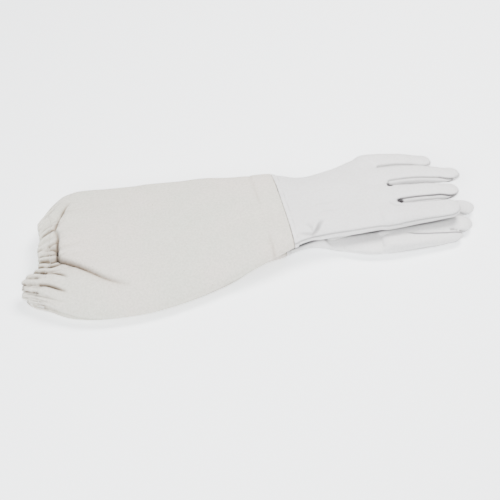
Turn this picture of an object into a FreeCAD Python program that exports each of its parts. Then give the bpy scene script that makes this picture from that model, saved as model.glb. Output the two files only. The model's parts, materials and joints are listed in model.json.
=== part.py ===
"""Pair of beekeeping gloves: leather hands on long canvas sleeves, laid palm to palm.

The right glove lies palm up on the table. The left glove lies palm down on top of it.
Frame: +X from the cuffs to the fingertips, +Y across to the little fingers, +Z up.
The origin is on the table, under the middle of the pair. Lengths are millimetres.
"""
import FreeCAD, Part
import os

V = FreeCAD.Vector

# Material thicknesses
LEATHER = 1.2
CANVAS = 0.9
ELASTIC = 1.3
THREAD_DEPTH = 0.3
THREAD_WIDTH = 0.7

# One hand, measured upwards from the outer face of its palm
HAND_HEIGHT = 19.0
PALM_RECESS = 8.3
SEAM_HEIGHT = 12.0
CROWN = 3.0
BACK_HALF = 62.0
GLOVE_GAP = 0.8

# Sleeve ends. The rim slants: its x falls by CUFF_SLANT for each mm towards -Y
CUFF_SLANT = 0.3
LOFT_OVERRUN = 4.0
HEM_WIDTH = 14.0
HEM_WALL = 3.4
CHANNEL_GAP = 0.15
CHANNEL_END = 2.0
FACING_WIDTH = 25.0
FACING_GAP = 0.05
FACING = 0.8
SEAM_CLEARANCE = 0.3
WRIST_STITCH_INSET = 4.0
LONG_SEAM_OFFSET = 20.0
LONG_SEAM_START = 1.0

# Fingers: each one is drawn a little wide, and the slits part them
FINGER_FIT = 0.8
KNUCKLE_OVERLAP = 12.0
KNUCKLE_BULGE = 13.0
SLIT_ROOT = 0.8
SLIT_TIP = 2.0
SLIT_OVERRUN = 45.0
FINGER_STITCH_INSET = 1.0

# Thumbs, folded flat over the palm about a round sewn root
THUMB_HEIGHT = 8.0
THUMB_ROOT_R = 15.0
THUMB_HOLE_R = 11.0
THUMB_TIP_R = 10.5
THUMB_REACH = 47.0
THUMB_STITCH_INSET = 1.0

# The palm's recess, measured along +X from the thumb's root
RECESS_RISE = -32.0
RECESS_START = -19.0
RECESS_END = 60.0
RECESS_FALL = 68.0

# Overlaps and tolerances of the modelling itself
PALM_OVERRUN = 10.0
PATH_OVERRUN = 5.0
CRUMB_VOLUME = 0.05
STRAIGHT = 0.001

REACH = 400.0

# Sleeve stations: x, centre y, half width, crown height, edge height of each glove's own
# thickness. The right sleeve lies flat on the table; the left sleeve drapes over it.
RIGHT_STATIONS = [
    (-256.0, -11.0, 31.0, 14.5, 8.6),
    (-235.0, -9.5, 44.5, 16.5, 10.0),
    (-216.0, -7.0, 60.0, 17.5, 9.5),
    (-185.0, -3.0, 74.0, 18.5, 7.5),
    (-150.0, 0.0, 79.0, 19.0, 7.0),
    (-95.0, 1.0, 77.0, 19.0, 7.0),
    (-40.0, 4.0, 66.0, 19.0, 9.5),
    (5.0, 9.0, 52.0, 19.0, 16.0),
    (32.0, 8.0, 47.0, 19.0, 19.0),
]
LEFT_STATIONS = [
    (-259.0, -7.0, 33.0, 15.5, 9.0),
    (-235.0, -6.0, 51.0, 17.0, 12.5),
    (-212.0, -4.5, 67.5, 17.5, 9.0),
    (-182.0, -1.0, 82.0, 18.5, 6.5),
    (-150.0, 0.0, 86.0, 19.0, 6.0),
    (-100.0, 1.5, 84.0, 19.0, 6.0),
    (-40.0, 6.0, 74.0, 19.0, 9.0),
    (8.0, 8.0, 62.5, 19.0, 14.0),
    (32.0, 9.5, 56.0, 19.0, 16.0),
    (39.0, 10.0, 54.0, 19.0, 16.0),
]
# Where the rim of each cuff crosses y = 0
RIGHT_RIM = -242.0
LEFT_RIM = -247.0

# Finger name, root centre y, root half width, tip centre x and y, tip radius
LEFT_FINGERS = [
    ("little", 57.0, 11.5, 217.0, 45.0, 9.5),
    ("ring", 32.0, 13.5, 240.0, 19.5, 11.0),
    ("middle", 5.0, 13.0, 232.0, -4.0, 11.0),
    ("index", -24.0, 15.0, 224.0, -27.5, 12.0),
]
RIGHT_FINGERS = [
    ("little", 31.5, 12.0, 226.0, 12.0, 9.5),
    ("ring", 6.0, 13.5, 247.7, -11.5, 10.5),
    ("middle", -21.0, 13.5, 238.5, -32.5, 11.0),
    ("index", -46.5, 11.0, 221.0, -50.9, 10.0),
]
# Where each slit between two fingers starts: x, y
LEFT_CROTCHES = [(158.0, 44.0), (166.0, 16.2), (168.0, -10.2)]
RIGHT_CROTCHES = [(160.0, 17.0), (168.0, -10.5), (167.5, -36.1)]

# Outline of each palm from the sleeve seam to the knuckles, near side then far side
LEFT_NEAR = [(39.0, -44.0), (66.0, -38.5), (110.0, -39.5), (160.0, -40.5)]
LEFT_FAR = [(39.0, 64.0), (69.0, 52.0), (106.0, 57.5), (143.0, 68.0), (160.0, 67.5)]
RIGHT_NEAR = [(32.0, -39.0), (66.0, -33.0), (92.0, -43.0), (122.0, -56.0), (160.0, -59.0)]
RIGHT_FAR = [(32.0, 55.0), (66.0, 52.0), (112.0, 50.0), (160.0, 42.0)]

LEFT = {
    "side": "left",
    "stations": LEFT_STATIONS,
    "rim": LEFT_RIM,
    "long_seam": (-REACH, 25.0),
    "fingers": LEFT_FINGERS,
    "crotches": LEFT_CROTCHES,
    "near": LEFT_NEAR,
    "far": LEFT_FAR,
    "crown": CROWN,
    "thumb": (92.0, -20.0),
    "thumb_lean": 14.0,
}
RIGHT = {
    "side": "right",
    "stations": RIGHT_STATIONS,
    "rim": RIGHT_RIM,
    "long_seam": (9.0, REACH),
    "fingers": RIGHT_FINGERS,
    "crotches": RIGHT_CROTCHES,
    "near": RIGHT_NEAR,
    "far": RIGHT_FAR,
    "crown": 0.0,
    "thumb": (88.0, -22.0),
    "thumb_lean": 6.0,
}


# ---------------------------------------------------------------- helpers
def polygon(points):
    """A closed polygon face."""
    return Part.Face(Part.makePolygon(points + [points[0]]))


def prism(face, low=-REACH, high=REACH):
    """A flat face in the XY plane, made into a solid between two heights."""
    moved = face.copy()
    moved.translate(V(0, 0, low))
    return moved.extrude(V(0, 0, high - low))


def box(x0, x1, y0, y1, z0, z1):
    """A box between two corners."""
    return Part.makeBox(x1 - x0, y1 - y0, z1 - z0, V(x0, y0, z0))


def span(x0, x1, slant0, slant1):
    """Everything between two upright planes that cross y = 0 at x0 and x1."""
    return prism(
        polygon(
            [
                V(x0 - slant0 * REACH, -REACH, 0),
                V(x1 - slant1 * REACH, -REACH, 0),
                V(x1 + slant1 * REACH, REACH, 0),
                V(x0 + slant0 * REACH, REACH, 0),
            ]
        )
    )


def one(shape):
    """A boolean result as a clean solid, or a compound of solids."""
    shape = shape.removeSplitter()
    solids = [s for s in shape.Solids if s.Volume > CRUMB_VOLUME]
    return solids[0] if len(solids) == 1 else Part.makeCompound(solids)


def capsule(x0, y0, r0, x1, y1, r1):
    """A flat tapered capsule: the hull of two circles."""
    axis = V(x1 - x0, y1 - y0, 0)
    length = axis.Length
    along = V(axis).normalize()
    across = V(-along.y, along.x, 0)
    sine = (r0 - r1) / length
    cosine = (1 - sine * sine) ** 0.5
    sides = []
    for sign in (1, -1):
        normal = along * sine + across * (cosine * sign)
        sides.append((V(x0, y0, 0) + normal * r0, V(x1, y1, 0) + normal * r1))
    (a0, a1), (b0, b1) = sides
    tip = V(x1, y1, 0) + along * r1
    root = V(x0, y0, 0) - along * r0
    edges = [
        Part.LineSegment(a0, a1).toShape(),
        Part.Arc(a1, tip, b1).toShape(),
        Part.LineSegment(b1, b0).toShape(),
        Part.Arc(b0, root, a0).toShape(),
    ]
    return Part.Face(Part.Wire(edges))


# ---------------------------------------------------------------- sleeves
def section_heights(side, station):
    """Bottom and top heights of a sleeve at its centre and at its edges."""
    x, _, _, crown, edge = station
    if side == "right":
        return 0.0, 0.0, crown, edge
    under_crown, under_edge = right_top(x)
    low_centre = under_crown + GLOVE_GAP
    low_edge = under_edge + GLOVE_GAP
    return low_centre, low_edge, low_centre + crown, low_edge + edge


def right_top(x):
    """Crown and edge height of the right sleeve at x, between its stations."""
    stations = RIGHT_STATIONS
    if x >= stations[-1][0]:
        return stations[-1][3], stations[-1][4]
    for first, second in zip(stations, stations[1:]):
        if first[0] <= x <= second[0]:
            share = (x - first[0]) / (second[0] - first[0])
            crown = first[3] + share * (second[3] - first[3])
            edge = first[4] + share * (second[4] - first[4])
            return crown, edge
    return stations[0][3], stations[0][4]


def section(side, station, inset):
    """One closed section of a sleeve: two crowned faces joined by two short edges."""
    x, centre, half, _, _ = station
    low_centre, low_edge, top_centre, top_edge = section_heights(side, station)
    left_y = centre - half + inset
    right_y = centre + half - inset
    top_a = V(x, left_y, top_edge - inset)
    top_b = V(x, right_y, top_edge - inset)
    top_mid = V(x, centre, top_centre - inset)
    low_a = V(x, left_y, low_edge + inset)
    low_b = V(x, right_y, low_edge + inset)
    low_mid = V(x, centre, low_centre + inset)
    return Part.Wire(
        [
            crowned_edge(top_a, top_mid, top_b),
            Part.LineSegment(top_b, low_b).toShape(),
            crowned_edge(low_b, low_mid, low_a),
            Part.LineSegment(low_a, top_a).toShape(),
        ]
    )


def crowned_edge(start, middle, end):
    """A parabola through three points, or a straight edge where they are in line."""
    if middle.distanceToLine(start, end - start) < STRAIGHT:
        return Part.LineSegment(start, end).toShape()
    control = middle * 2 - (start + end) * 0.5
    curve = Part.BezierCurve()
    curve.setPoles([start, control, end])
    return curve.toShape()


def sleeve_body(glove, inset):
    """The sleeve's whole outer shape, moved in by inset."""
    wires = [section(glove["side"], s, inset) for s in glove["stations"]]
    first = wires[0].copy()
    first.translate(V(-LOFT_OVERRUN, 0, 0))
    return Part.makeLoft([first] + wires, True, True)


def sleeve_parts(glove):
    """Sleeve, hem, elastic, facing and the threads of one glove's canvas."""
    rim_x = glove["rim"]
    hem_x = rim_x + HEM_WIDTH
    seam_x = glove["stations"][-1][0]

    def layer(outer, inner, between):
        shell = sleeve_body(glove, outer).common(between)
        return shell.cut(sleeve_body(glove, inner))

    def ring(x0, x1):
        return span(x0, x1, CUFF_SLANT, CUFF_SLANT)

    seam_y = glove["stations"][-1][1] + LONG_SEAM_OFFSET
    ends = (-REACH, seam_x - FACING_WIDTH, seam_y, seam_y + THREAD_WIDTH)
    strip = box(*ends, *glove["long_seam"])
    strip = strip.common(span(hem_x + LONG_SEAM_START, seam_x, CUFF_SLANT, 0))
    stitch_x = seam_x - WRIST_STITCH_INSET
    hem_stitch_x = hem_x - 2 * THREAD_WIDTH
    wrist_thread = layer(0, THREAD_DEPTH, span(stitch_x, stitch_x + THREAD_WIDTH, 0, 0))
    long_thread = layer(0, THREAD_DEPTH, strip)
    hem_thread = layer(0, THREAD_DEPTH, ring(hem_stitch_x, hem_stitch_x + THREAD_WIDTH))
    channel_in = CANVAS + ELASTIC + 2 * CHANNEL_GAP
    channel = layer(CANVAS, channel_in, ring(rim_x + CHANNEL_END, hem_x - CHANNEL_END))
    sleeve = layer(0, CANVAS, span(hem_x, seam_x, CUFF_SLANT, 0))
    elastic_out = CANVAS + CHANNEL_GAP
    elastic_end = CHANNEL_END + CHANNEL_GAP
    facing_out = CANVAS + FACING_GAP
    return {
        "canvas_sleeve": sleeve.cut(wrist_thread).cut(long_thread),
        "cuff_hem": layer(0, HEM_WALL, ring(rim_x, hem_x)).cut(channel).cut(hem_thread),
        "cuff_elastic": layer(
            elastic_out,
            elastic_out + ELASTIC,
            ring(rim_x + elastic_end, hem_x - elastic_end),
        ),
        "wrist_facing": layer(
            facing_out, facing_out + FACING, span(seam_x - FACING_WIDTH, seam_x, 0, 0)
        ),
        "wrist_seam_thread": wrist_thread,
        "hem_thread": hem_thread,
        "sleeve_seam_thread": long_thread,
    }


# ---------------------------------------------------------------- hands
def palm_outline(glove, inset):
    """The flat palm from behind the sleeve seam to just past the knuckles."""
    near = [V(x, y + inset, 0) for x, y in glove["near"]]
    far = [V(x, y - inset, 0) for x, y in glove["far"]]
    back = near[0].x - PALM_OVERRUN
    near_curve = Part.BSplineCurve()
    near_curve.interpolate(near)
    far_curve = Part.BSplineCurve()
    far_curve.interpolate(list(reversed(far)))
    corner_far = V(back, far[0].y, 0)
    corner_near = V(back, near[0].y, 0)
    knuckle = (near[-1] + far[-1]) * 0.5 + V(KNUCKLE_BULGE, 0, 0)
    edges = [
        near_curve.toShape(),
        Part.LineSegment(near[-1], knuckle).toShape(),
        Part.LineSegment(knuckle, far[-1]).toShape(),
        far_curve.toShape(),
        Part.LineSegment(far[0], corner_far).toShape(),
        Part.LineSegment(corner_far, corner_near).toShape(),
        Part.LineSegment(corner_near, near[0]).toShape(),
    ]
    return Part.Face(Part.Wire(edges))


def slit(glove, index, grow):
    """The gap between two neighbouring fingers, from its crotch to past their tips."""
    x, y = glove["crotches"][index]
    _, _, _, tip_a_x, tip_a_y, r_a = glove["fingers"][index]
    _, _, _, tip_b_x, tip_b_y, r_b = glove["fingers"][index + 1]
    share = r_a / (r_a + r_b)
    mid_x = (tip_a_x + tip_b_x) / 2
    mid_y = tip_a_y + (tip_b_y - tip_a_y) * share
    stretch = (mid_x + SLIT_OVERRUN - x) / (mid_x - x)
    end_x = x + (mid_x - x) * stretch
    end_y = y + (mid_y - y) * stretch
    return prism(capsule(x, y, SLIT_ROOT + grow, end_x, end_y, SLIT_TIP + grow))


def hand_plan(glove, inset):
    """The hand's outline, moved in by inset, as a tall prism."""
    knuckle_x = glove["near"][-1][0]
    whole = prism(palm_outline(glove, inset))
    for _, root_y, half, tip_x, tip_y, radius in glove["fingers"]:
        finger = capsule(
            knuckle_x - KNUCKLE_OVERLAP,
            root_y,
            half + FINGER_FIT - inset,
            tip_x,
            tip_y,
            radius + FINGER_FIT - inset,
        )
        whole = whole.fuse(prism(finger))
    for index in range(3):
        whole = whole.cut(slit(glove, index, inset))
    start = glove["near"][0][0] + SEAM_CLEARANCE
    return whole.common(box(start, REACH, -REACH, REACH, -REACH, REACH))


def palm_path(glove, lift):
    """The palm's side profile: flat, up into the recess for the thumb, flat again."""
    seam_x = glove["near"][0][0]
    thumb_x = glove["thumb"][0]
    return [
        V(seam_x - PATH_OVERRUN, 0, lift),
        V(thumb_x + RECESS_RISE, 0, lift),
        V(thumb_x + RECESS_START, 0, PALM_RECESS + lift),
        V(thumb_x + RECESS_END, 0, PALM_RECESS + lift),
        V(thumb_x + RECESS_FALL, 0, lift),
        V(REACH, 0, lift),
    ]


def palm_layer(glove, low, high):
    """A layer between two offsets of the palm's side profile."""
    face = polygon(palm_path(glove, low) + list(reversed(palm_path(glove, high))))
    face.translate(V(0, -REACH, 0))
    return face.extrude(V(0, 2 * REACH, 0))


def below_seam(glove, low):
    """Everything between an offset of the palm's profile and the side seam."""
    path = palm_path(glove, low)
    top = [V(path[-1].x, 0, SEAM_HEIGHT), V(path[0].x, 0, SEAM_HEIGHT)]
    face = polygon(path + top)
    face.translate(V(0, -REACH, 0))
    return face.extrude(V(0, 2 * REACH, 0))


def back_edge(glove, depth):
    """The crowned line across the back of the hand, at a depth below its surface."""
    centre = (glove["near"][-1][1] + glove["far"][-1][1]) / 2
    top = HAND_HEIGHT - depth
    start = V(0, centre - BACK_HALF, top - glove["crown"])
    end = V(0, centre + BACK_HALF, top - glove["crown"])
    return start, V(0, centre, top), end


def back_layer(glove, outer, inner):
    """A crowned layer between two depths below the back of the hand."""
    a0, a1, a2 = back_edge(glove, outer)
    b0, b1, b2 = back_edge(glove, inner)
    edges = [
        crowned_edge(a0, a1, a2),
        Part.LineSegment(a2, b2).toShape(),
        crowned_edge(b2, b1, b0),
        Part.LineSegment(b0, a0).toShape(),
    ]
    return Part.Face(Part.Wire(edges)).extrude(V(REACH, 0, 0))


def above_seam(glove, depth):
    """Everything between the side seam and a depth below the back of the hand."""
    a0, a1, a2 = back_edge(glove, depth)
    low_a = V(0, a0.y, SEAM_HEIGHT)
    low_b = V(0, a2.y, SEAM_HEIGHT)
    edges = [
        crowned_edge(a0, a1, a2),
        Part.LineSegment(a2, low_b).toShape(),
        Part.LineSegment(low_b, low_a).toShape(),
        Part.LineSegment(low_a, a0).toShape(),
    ]
    return Part.Face(Part.Wire(edges)).extrude(V(REACH, 0, 0))


def hand_parts(glove):
    """Back, palm, three fourchettes and the seam threads, palm side down at height 0."""
    plan = hand_plan(glove, 0)
    hollow = hand_plan(glove, LEATHER)
    wall = plan.cut(hollow)
    upper = above_seam(glove, LEATHER)
    lower = below_seam(glove, LEATHER)
    outer_wall = wall
    parts = {}
    names = [f[0] for f in glove["fingers"]]
    for index in range(3):
        around = slit(glove, index, LEATHER)
        web = wall.common(around)
        outer_wall = outer_wall.cut(around)
        name = "fourchette_" + names[index + 1] + "_" + names[index]
        parts[name] = web.common(upper).fuse(web.common(lower))

    inset = FINGER_STITCH_INSET
    strip = hand_plan(glove, inset).cut(hand_plan(glove, inset + THREAD_WIDTH))
    back_thread = strip.common(back_layer(glove, 0, THREAD_DEPTH))
    palm_thread = strip.common(palm_layer(glove, 0, THREAD_DEPTH))

    x, y = glove["thumb"]
    hole = Part.makeCylinder(THUMB_HOLE_R, 2 * REACH, V(x, y, -REACH))
    back = plan.common(back_layer(glove, 0, LEATHER)).fuse(outer_wall.common(upper))
    palm = plan.common(palm_layer(glove, 0, LEATHER)).cut(hole)
    palm = palm.fuse(outer_wall.common(lower))
    parts["leather_back"] = back.cut(back_thread)
    parts["leather_palm"] = palm.cut(palm_thread)
    parts["back_seam_thread"] = back_thread
    parts["palm_seam_thread"] = palm_thread
    return parts


def thumb_plan(glove, inset):
    """The folded thumb's outline, moved in by inset, as a tall prism."""
    x, y = glove["thumb"]
    face = capsule(
        x, y, THUMB_ROOT_R - inset, x + THUMB_REACH, y, THUMB_TIP_R - inset
    )
    face.rotate(V(x, y, 0), V(0, 0, 1), glove["thumb_lean"])
    return prism(face)


def thumb_parts(glove):
    """Outer and inner leather of the thumb and its seam thread, below the palm."""
    x, y = glove["thumb"]
    plan = thumb_plan(glove, 0)
    wall = plan.cut(thumb_plan(glove, LEATHER))
    middle = THUMB_HEIGHT / 2
    everywhere = (-REACH, REACH, -REACH, REACH)
    outer = plan.common(box(*everywhere, 0, LEATHER))
    outer = outer.fuse(wall.common(box(*everywhere, LEATHER, middle)))
    inner = plan.common(box(*everywhere, THUMB_HEIGHT - LEATHER, THUMB_HEIGHT))
    inner = inner.fuse(wall.common(box(*everywhere, middle, THUMB_HEIGHT - LEATHER)))
    hole = Part.makeCylinder(THUMB_HOLE_R, 2 * REACH, V(x, y, -REACH))
    inset = THUMB_STITCH_INSET
    strip = thumb_plan(glove, inset).cut(thumb_plan(glove, inset + THREAD_WIDTH))
    thread = strip.common(box(*everywhere, 0, THREAD_DEPTH))
    return {
        "thumb_outer": outer.cut(thread),
        "thumb_inner": inner.cut(hole),
        "thumb_seam_thread": thread,
    }


def placed(glove, shape):
    """A hand or thumb part, from palm side down at height 0 to where it lies."""
    moved = shape.copy()
    if glove["side"] == "left":
        moved.translate(V(0, 0, HAND_HEIGHT + GLOVE_GAP))
        return moved
    moved = moved.mirror(V(0, 0, 0), V(0, 0, 1))
    moved.translate(V(0, 0, HAND_HEIGHT))
    return moved


def main():
    os.makedirs("parts", exist_ok=True)
    for glove in (LEFT, RIGHT):
        parts = sleeve_parts(glove)
        for name, shape in {**hand_parts(glove), **thumb_parts(glove)}.items():
            parts[name] = placed(glove, shape)
        for name, shape in parts.items():
            solid = one(shape)
            node = glove["side"] + "_" + name
            solid.exportStep("parts/" + node + ".step")
            print(
                f"{node:42s} solids {len(solid.Solids)} valid {solid.isValid()}"
                f" volume {solid.Volume:9.1f} mm3"
            )


main()
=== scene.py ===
"""The look of a pair of beekeeping gloves: white leather hands on cream canvas sleeves.

The left glove lies on the right one, palm to palm, with both thumbs tucked between them.
Shapes are worked out in millimetres in the frame's own axes and turned into metres last.
"""
import json
import math

import bpy
import numpy as np
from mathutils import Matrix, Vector
from mathutils.kdtree import KDTree


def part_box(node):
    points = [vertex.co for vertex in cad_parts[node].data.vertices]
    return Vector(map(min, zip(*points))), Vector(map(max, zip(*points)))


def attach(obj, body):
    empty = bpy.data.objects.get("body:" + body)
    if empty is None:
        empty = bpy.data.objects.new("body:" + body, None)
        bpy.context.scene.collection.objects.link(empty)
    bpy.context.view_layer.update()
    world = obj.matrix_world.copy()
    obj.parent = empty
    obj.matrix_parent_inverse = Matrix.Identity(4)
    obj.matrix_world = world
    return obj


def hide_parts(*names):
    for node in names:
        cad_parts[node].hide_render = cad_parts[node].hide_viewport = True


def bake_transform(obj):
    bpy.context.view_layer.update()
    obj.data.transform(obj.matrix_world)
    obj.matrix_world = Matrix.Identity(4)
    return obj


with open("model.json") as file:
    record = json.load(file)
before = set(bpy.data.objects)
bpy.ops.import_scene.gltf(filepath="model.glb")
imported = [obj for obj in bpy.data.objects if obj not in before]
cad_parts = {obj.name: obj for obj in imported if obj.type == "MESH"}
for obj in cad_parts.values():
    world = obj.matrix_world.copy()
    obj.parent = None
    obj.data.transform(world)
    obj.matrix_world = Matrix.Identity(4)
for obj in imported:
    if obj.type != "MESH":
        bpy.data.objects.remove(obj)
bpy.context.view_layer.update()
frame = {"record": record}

MM = 0.001
FOLD = next(j for j in frame["record"]["behaviour"]["joints"] if j["name"] == "left_hand_fold")
BEND_START = (FOLD["pos_m"][0] - 0.003, 0, 0)
BEND_END = (FOLD["pos_m"][0] + 0.031, 0, 0)
WRIST = {"from": "left_sleeve", "to": "left_hand", "start": BEND_START, "end": BEND_END}
SEAMS = {side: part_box(side + "_canvas_sleeve")[1].x / MM for side in ("left", "right")}

# Thicknesses, the grid's spacing for the hands and a length that counts as nothing
LEATHER = 1.1
CANVAS = 0.8
GRID_STEP = 1.0
TINY = 1e-9
FOURCHETTES = ["fourchette_ring_little", "fourchette_middle_ring", "fourchette_index_middle"]
PANEL_NAMES = {
    "fourchette_ring_little": "ring_little_gusset",
    "fourchette_middle_ring": "middle_ring_gusset",
    "fourchette_index_middle": "index_middle_gusset",
    "leather_back": "back_leather",
    "leather_palm": "palm_leather",
}
# The grooves that seams pull into the leather
GROOVE_DEPTH = 1.1
GROOVE_WIDTH = 1.1


# ---------------------------------------------------------------- numbers
def smooth_line(points, x):
    """Values at x on a smooth line through (x, value) points, level past its ends."""
    xs, ys = np.array(points, float).T
    slopes = np.gradient(ys, xs)
    x = np.clip(x, xs[0], xs[-1])
    i = np.clip(np.searchsorted(xs, x) - 1, 0, len(xs) - 2)
    span = xs[i + 1] - xs[i]
    t = (x - xs[i]) / span
    rise = 3 * t**2 - 2 * t**3
    start = (t**3 - 2 * t**2 + t) * span * slopes[i]
    end = (t**3 - t**2) * span * slopes[i + 1]
    return ys[i] * (1 - rise) + ys[i + 1] * rise + start + end


def step_up(low, high, x):
    """0 below low, 1 above high, smooth between."""
    t = np.clip((x - low) / (high - low), 0, 1)
    return t * t * (3 - 2 * t)


def bump(x, centre, width):
    """A soft bell of height 1."""
    return np.exp(-(((x - centre) / width) ** 2))


def waves(points, length, seed, count=9):
    """Smooth noise of about -1 to 1, with features about length mm across."""
    rng = np.random.default_rng(seed)
    total = np.zeros(len(points))
    for _ in range(count):
        way = rng.normal(size=3)
        way /= np.linalg.norm(way)
        turn = 2 * math.pi / (length * rng.uniform(0.7, 1.6))
        total += np.sin(points @ way * turn + rng.uniform(0, 2 * math.pi))
    return total / math.sqrt(count)


def curved(line, count=5):
    """A smooth curve through a line's points."""
    line = np.array(line, float)
    number = np.arange(len(line))
    fine = np.linspace(0, len(line) - 1, count * (len(line) - 1) + 1)
    return np.stack([smooth_line(np.stack([number, line[:, k]], 1), fine) for k in (0, 1)], 1)


def along_line(x, y, line):
    """Distance to a curve, its signed side (left is positive) and the share along it."""
    line = curved(line)
    lengths = np.linalg.norm(np.diff(line, axis=0), axis=1)
    ends = np.concatenate([[0], np.cumsum(lengths)])
    best = np.full(np.shape(x), 1e9)
    side = np.zeros(np.shape(x))
    share = np.zeros(np.shape(x))
    for (ax, ay), (bx, by), start, length in zip(line, line[1:], ends, lengths):
        ux, uy = (bx - ax) / length, (by - ay) / length
        t = np.clip((x - ax) * ux + (y - ay) * uy, 0, length)
        dx, dy = x - ax - ux * t, y - ay - uy * t
        distance = np.hypot(dx, dy)
        nearer = distance < best
        best = np.where(nearer, distance, best)
        side = np.where(nearer, np.sign(ux * dy - uy * dx), side)
        share = np.where(nearer, (start + t) / ends[-1], share)
    return best, side, share


# ---------------------------------------------------------------- meshes
def unit(vectors):
    """Vectors made 1 long."""
    return vectors / np.maximum(np.linalg.norm(vectors, axis=-1, keepdims=True), TINY)


def reach_of(line):
    """The distance along a line to each of its points."""
    return np.concatenate([[0], np.cumsum(np.linalg.norm(np.diff(line, axis=0), axis=1))])


def resample(places, reach, table):
    """The rows of a table at places along its reach."""
    return np.stack([np.interp(places, reach, column) for column in table.T], axis=1)


def surface_of(field, low, step):
    """Points and quads of a grid's zero surface; the field is negative inside."""
    inside = field < 0
    shape = np.array(field.shape) - 1
    total = np.zeros((*shape, 3))
    count = np.zeros(shape)
    offsets = np.array([(i, j, k) for i in (0, 1) for j in (0, 1) for k in (0, 1)])

    def corner(values, offset):
        i, j, k = offset
        return values[i : i + shape[0], j : j + shape[1], k : k + shape[2]]

    for first in offsets:
        for axis in range(3):
            if first[axis]:
                continue
            second = first.copy()
            second[axis] = 1
            a, b = corner(field, first), corner(field, second)
            crossed = corner(inside, first) != corner(inside, second)
            share = np.where(crossed, a / np.where(crossed, a - b, 1), 0)
            place = np.broadcast_to(first.astype(float), (*shape, 3)).copy()
            place[..., axis] += share
            total += place * crossed[..., None]
            count += crossed
    used = count > 0
    number = np.full(shape, -1)
    number[used] = np.arange(used.sum())
    cells = np.argwhere(used)
    points = low + step * (cells + total[used] / count[used][:, None])

    quads = []
    for axis in range(3):
        ahead, one, other = np.roll(np.eye(3, dtype=int), -axis, axis=0)
        size = np.array(field.shape) - ahead
        a = inside[: size[0], : size[1], : size[2]]
        b = inside[ahead[0] :, ahead[1] :, ahead[2] :]
        edges = np.argwhere(a != b)
        beside = one + other > 0
        edges = edges[((edges > 0) & (edges < shape))[:, beside].all(axis=1)]
        leaving = a[tuple(edges.T)]
        ring = [edges - one - other, edges - other, edges, edges - one]
        ring = np.stack([number[tuple(cell.T)] for cell in ring], axis=1)
        quads.append(np.where(leaving[:, None], ring, ring[:, ::-1]))
    return points, np.concatenate(quads)


def settle(points, field_at, probe=0.25, least_slope=0.15, longest=0.6):
    """Moves points onto the zero surface of a field, by the longest move or less."""
    ways = probe * np.eye(3)
    slope = [(field_at(points + way) - field_at(points - way)) / (2 * probe) for way in ways]
    slope = np.stack(slope, axis=1)
    size = np.maximum((slope**2).sum(1), least_slope)
    move = slope * (field_at(points) / size)[:, None]
    length = np.linalg.norm(move, axis=1, keepdims=True)
    return points - move * np.minimum(1, longest / np.maximum(length, TINY))


def relax(points, faces, rounds, share):
    """Evens out a mesh by moving each point towards the middle of its neighbours."""
    a = faces.ravel()
    b = np.roll(faces, -1, axis=1).ravel()
    for _ in range(rounds):
        total = np.zeros_like(points)
        count = np.zeros(len(points))
        for one, two in ((a, b), (b, a)):
            for axis in range(3):
                total[:, axis] += np.bincount(one, points[two, axis], len(points))
            count += np.bincount(one, minlength=len(points))
        middle = total / np.maximum(count, 1)[:, None]
        points = points + share * (middle - points)
    return points


def normals_of(points, faces):
    """The outward normal at each point."""
    a, b, c = points[faces[:, 0]], points[faces[:, 1]], points[faces[:, 2]]
    face = np.cross(b - a, c - a)
    if faces.shape[1] == 4:
        face = face + np.cross(c - a, points[faces[:, 3]] - a)
    normal = np.zeros_like(points)
    for column in faces.T:
        for axis in range(3):
            normal[:, axis] += np.bincount(column, face[:, axis], len(points))
    return unit(normal)


def triangles_of(quads):
    """Two triangles for each quad."""
    return np.concatenate([quads[:, [0, 1, 2]], quads[:, [0, 2, 3]]])


def cut(points, triangles, value, extra):
    """The part of a mesh where value is above 0, with extra columns carried along.

    Edges that cross 0 are cut there, though never right at a corner.
    """
    up = value > 0
    full = triangles[up[triangles].all(1)]
    mixed = triangles[up[triangles].any(1) & ~up[triangles].all(1)]
    edges = np.concatenate([mixed[:, [0, 1]], mixed[:, [1, 2]], mixed[:, [2, 0]]])
    edges = np.sort(edges[up[edges[:, 0]] != up[edges[:, 1]]], axis=1)
    edges = np.unique(edges, axis=0)
    a, b = edges.T
    share = np.clip(value[a] / (value[a] - value[b]), 0.02, 0.98)[:, None]
    table = np.concatenate([points, extra], axis=1)
    table = np.concatenate([table, table[a] * (1 - share) + table[b] * share])
    number = {(i, j): len(points) + k for k, (i, j) in enumerate(edges.tolist())}
    faces = full.tolist()
    for tri in mixed.tolist():
        while not (up[tri[0]] and not up[tri[2]]):
            tri = tri[1:] + tri[:1]
        i, j, k = tri
        last = number[tuple(sorted((i, k)))]
        if up[j]:
            middle = number[tuple(sorted((j, k)))]
            faces += [[i, j, middle], [i, middle, last]]
        else:
            faces.append([i, number[tuple(sorted((i, j)))], last])
    kept, faces = np.unique(np.array(faces), return_inverse=True)
    return table[kept, :3], faces.reshape(-1, 3), table[kept, 3:]


def open_edges(faces):
    """The directed edges that only one face uses."""
    sides = faces.shape[1]
    pairs = np.concatenate([faces[:, [k, (k + 1) % sides]] for k in range(sides)]).tolist()
    seen = set(map(tuple, pairs))
    return [pair for pair in pairs if (pair[1], pair[0]) not in seen]


def shell(points, faces, thickness, normal=None):
    """A sheet made into a thin closed skin, thickened inwards."""
    normal = normals_of(points, faces) if normal is None else normal
    inner = points - normal * thickness
    count = len(points)
    solid = faces.tolist() + (faces[:, ::-1] + count).tolist()
    solid += [[b, a, a + count, b + count] for a, b in open_edges(faces)]
    return np.concatenate([points, inner]), solid


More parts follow.
